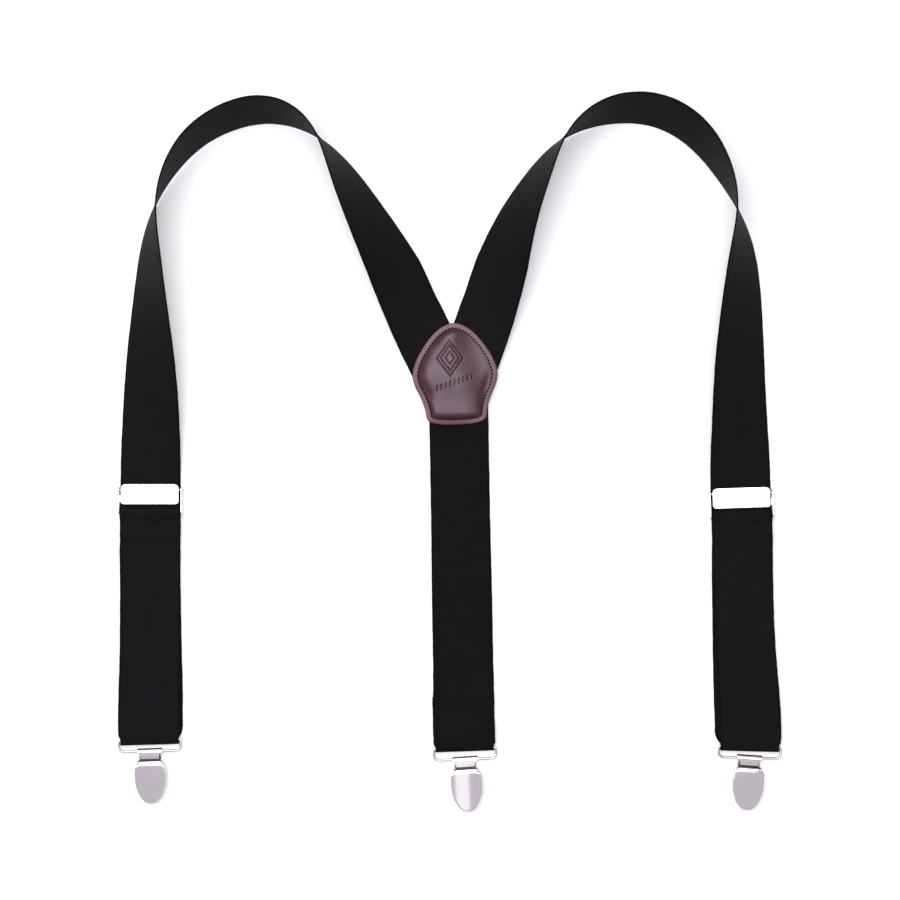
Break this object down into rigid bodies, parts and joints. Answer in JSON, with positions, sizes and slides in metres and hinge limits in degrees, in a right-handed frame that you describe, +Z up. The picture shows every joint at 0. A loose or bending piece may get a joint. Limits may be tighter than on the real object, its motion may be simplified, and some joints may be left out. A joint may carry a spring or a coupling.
{
  "type": "suspenders",
  "caption": "Y-back dress suspenders: wide elastic straps, stitched leather back patch, tipping slide adjusters and cam-lever clips on wire rings, lying flat.",
  "frame": {"origin": "on the table under the middle of the whole, suspenders lying flat with the back's outer face up", "axes": "+X to the right strap, +Y from the clips to the loops, +Z up from the table"},
  "size_m": [0.3848, 0.4144, 0.0382],
  "materials": {
    "webbing": "black ribbed elastic webbing, soft sheen",
    "leather": "dark burgundy grained leather, satin",
    "thread": "waxed dark sewing thread",
    "slider_metal": "polished nickel plate",
    "clip_metal": "polished nickel plate, slightly brushed",
    "wire": "nickel-plated steel wire",
    "grip_pad": "dark soft rubber"
  },
  "bodies": {
    "root": {"left_strap": "webbing", "right_strap": "webbing", "back_strap": "webbing", "patch_front": "leather", "patch_back": "leather", "patch_thread": "thread"},
    "left_slider": {"left_adjuster_frame": "slider_metal", "left_adjuster_rod": "slider_metal", "left_strap_pass": "webbing", "left_tail_loop": "webbing"},
    "left_slider_lever": {"left_adjuster_lever": "slider_metal"},
    "left_carriage": {"left_strap_run": "webbing", "left_strap_fold": "webbing", "left_strap_tail": "webbing"},
    "right_slider": {"right_adjuster_frame": "slider_metal", "right_adjuster_rod": "slider_metal", "right_strap_pass": "webbing", "right_tail_loop": "webbing"},
    "right_slider_lever": {"right_adjuster_lever": "slider_metal"},
    "right_carriage": {"right_strap_run": "webbing", "right_strap_fold": "webbing", "right_strap_tail": "webbing"},
    "left_ring": {"left_ring": "wire"},
    "left_clip": {"left_clip_base": "clip_metal", "left_clip_pin": "wire", "left_clip_grip": "grip_pad"},
    "left_clip_lever": {"left_clip_lever": "clip_metal"},
    "left_clip_jaw": {"left_clip_jaw": "clip_metal"},
    "right_ring": {"right_ring": "wire"},
    "right_clip": {"right_clip_base": "clip_metal", "right_clip_pin": "wire", "right_clip_grip": "grip_pad"},
    "right_clip_lever": {"right_clip_lever": "clip_metal"},
    "right_clip_jaw": {"right_clip_jaw": "clip_metal"},
    "back_ring": {"back_ring": "wire"},
    "back_clip": {"back_clip_base": "clip_metal", "back_clip_pin": "wire", "back_clip_grip": "grip_pad"},
    "back_clip_lever": {"back_clip_lever": "clip_metal"},
    "back_clip_jaw": {"back_clip_jaw": "clip_metal"}
  },
  "joints": [
    {"name": "left_slider_travel", "type": "slide", "parent": "root", "child": "left_slider", "axis": [0, -1, 0], "range_m": [0, 0.16], "deforming": ["left_strap_run", "left_strap_tail"]},
    {"name": "left_fold_travel", "type": "slide", "parent": "root", "child": "left_carriage", "axis": [0, -1, 0], "range_m": [0, 0.08]},
    {"name": "left_slider_lever_tilt", "type": "hinge", "parent": "left_slider", "child": "left_slider_lever", "pos_m": [-0.1736, -0.0207, 0.0036], "axis": [-1, 0, 0], "range_deg": [0, 50]},
    {"name": "right_slider_travel", "type": "slide", "parent": "root", "child": "right_slider", "axis": [0.0321, -0.9995, 0], "range_m": [0, 0.16], "deforming": ["right_strap_run", "right_strap_tail"]},
    {"name": "right_fold_travel", "type": "slide", "parent": "root", "child": "right_carriage", "axis": [0.0321, -0.9995, 0], "range_m": [0, 0.08]},
    {"name": "right_slider_lever_tilt", "type": "hinge", "parent": "right_slider", "child": "right_slider_lever", "pos_m": [0.16853, -0.0228, 0.0036], "axis": [-0.9995, -0.0321, 0], "range_deg": [0, 50]},
    {"name": "left_ring_swing", "type": "hinge", "parent": "left_carriage", "child": "left_ring", "pos_m": [-0.174, -0.16575, 0.00185], "axis": [-0.9996, -0.0279, 0], "range_deg": [-80, 45]},
    {"name": "left_clip_swing", "type": "hinge", "parent": "left_ring", "child": "left_clip", "pos_m": [-0.17382, -0.17215, 0.00185], "axis": [-0.9996, -0.0279, 0], "range_deg": [-60, 30]},
    {"name": "left_clip_lever_tilt", "type": "hinge", "parent": "left_clip", "child": "left_clip_lever", "pos_m": [-0.17359, -0.17874, 0.004], "axis": [-0.9994, -0.0349, 0], "range_deg": [0, 95]},
    {"name": "left_clip_jaw_rock", "type": "hinge", "parent": "left_clip", "child": "left_clip_jaw", "pos_m": [-0.17372, -0.17515, 0.00185], "axis": [-0.9994, -0.0349, 0], "range_deg": [0, 8]},
    {"name": "right_ring_swing", "type": "hinge", "parent": "right_carriage", "child": "right_ring", "pos_m": [0.1736, -0.16955, 0.00185], "axis": [-0.9996, 0.0279, 0], "range_deg": [-80, 45]},
    {"name": "right_clip_swing", "type": "hinge", "parent": "right_ring", "child": "right_clip", "pos_m": [0.17342, -0.17595, 0.00185], "axis": [-0.9996, 0.0279, 0], "range_deg": [-60, 30]},
    {"name": "right_clip_lever_tilt", "type": "hinge", "parent": "right_clip", "child": "right_clip_lever", "pos_m": [0.17298, -0.18253, 0.004], "axis": [-0.9978, 0.0663, 0], "range_deg": [0, 95]},
    {"name": "right_clip_jaw_rock", "type": "hinge", "parent": "right_clip", "child": "right_clip_jaw", "pos_m": [0.17322, -0.17894, 0.00185], "axis": [-0.9978, 0.0663, 0], "range_deg": [0, 8]},
    {"name": "back_ring_swing", "type": "hinge", "parent": "root", "child": "back_ring", "pos_m": [0.0085, -0.17045, 0.00185], "axis": [-0.9994, -0.0349, 0], "range_deg": [-80, 45]},
    {"name": "back_clip_swing", "type": "hinge", "parent": "back_ring", "child": "back_clip", "pos_m": [0.00872, -0.17685, 0.00185], "axis": [-0.9994, -0.0349, 0], "range_deg": [-60, 30]},
    {"name": "back_clip_lever_tilt", "type": "hinge", "parent": "back_clip", "child": "back_clip_lever", "pos_m": [0.00913, -0.18343, 0.004], "axis": [-0.9981, -0.061, 0], "range_deg": [0, 95]},
    {"name": "back_clip_jaw_rock", "type": "hinge", "parent": "back_clip", "child": "back_clip_jaw", "pos_m": [0.00891, -0.17984, 0.00185], "axis": [-0.9981, -0.061, 0], "range_deg": [0, 8]}
  ],
  "couplings": [
    {"joint": "left_fold_travel", "follows": "left_slider_travel", "ratio": 0.5},
    {"joint": "right_fold_travel", "follows": "right_slider_travel", "ratio": 0.5},
    {"joint": "left_clip_jaw_rock", "follows": "left_clip_lever_tilt", "ratio": 0.0842},
    {"joint": "right_clip_jaw_rock", "follows": "right_clip_lever_tilt", "ratio": 0.0842},
    {"joint": "back_clip_jaw_rock", "follows": "back_clip_lever_tilt", "ratio": 0.0842}
  ]
}
